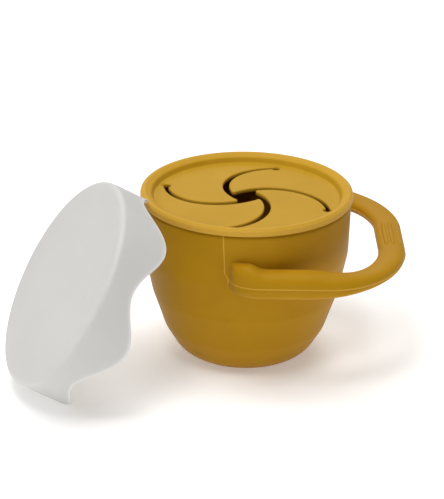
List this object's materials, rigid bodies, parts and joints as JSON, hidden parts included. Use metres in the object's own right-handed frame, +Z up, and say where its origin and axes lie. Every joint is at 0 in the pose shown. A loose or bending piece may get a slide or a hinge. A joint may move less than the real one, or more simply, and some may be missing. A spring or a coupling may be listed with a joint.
{
  "type": "toddler snack container",
  "caption": "Soft silicone snack cup with a side loop handle, a push-on lid of flexing pinwheel petals round a centre hole, and a frosted dust cover leaning beside it.",
  "frame": {"origin": "middle of the cup's flat base, on the surface it stands on", "axes": "+X towards the loop handle, +Z up through the lid's centre hole, -Y the side the picture is taken from"},
  "size_m": [0.1804, 0.1488, 0.0934],
  "materials": {
    "cup_silicone": "satin mustard silicone",
    "lid_silicone": "satin mustard silicone, a little paler",
    "cover_plastic": "frosted, see-through"
  },
  "bodies": {
    "cup": {"cup_bowl": "cup_silicone", "handle": "cup_silicone"},
    "lid": {"lid_rim": "lid_silicone"},
    "petal_right": {"petal_right": "lid_silicone"},
    "petal_back": {"petal_back": "lid_silicone"},
    "petal_left": {"petal_left": "lid_silicone"},
    "petal_front": {"petal_front": "lid_silicone"},
    "cover": {"dust_cover": "cover_plastic"}
  },
  "joints": [
    {"name": "lid_lift", "type": "slide", "parent": "cup", "child": "lid", "axis": [0, 0, 1], "range_m": [0, 0.06]},
    {"name": "petal_right_flex", "type": "hinge", "parent": "lid", "child": "petal_right", "pos_m": [0.02533, 0.01018, 0.0734], "axis": [0.373, -0.9278, 0], "range_deg": [-35, 60], "stiffness_Nm_per_rad": 0.02, "springref_deg": -0.57},
    {"name": "petal_back_flex", "type": "hinge", "parent": "lid", "child": "petal_back", "pos_m": [-0.01018, 0.02533, 0.0734], "axis": [0.9278, 0.373, 0], "range_deg": [-35, 60], "stiffness_Nm_per_rad": 0.02, "springref_deg": -0.57},
    {"name": "petal_left_flex", "type": "hinge", "parent": "lid", "child": "petal_left", "pos_m": [-0.02533, -0.01018, 0.0734], "axis": [-0.373, 0.9278, 0], "range_deg": [-35, 60], "stiffness_Nm_per_rad": 0.02, "springref_deg": -0.57},
    {"name": "petal_front_flex", "type": "hinge", "parent": "lid", "child": "petal_front", "pos_m": [0.01018, -0.02533, 0.0734], "axis": [-0.9278, -0.373, 0], "range_deg": [-35, 60], "stiffness_Nm_per_rad": 0.02, "springref_deg": -0.57},
    {"name": "cover_away", "type": "slide", "parent": "cup", "child": "cover", "axis": [-0.8436, -0.1839, 0.5045], "range_m": [0, 0.08]}
  ]
}
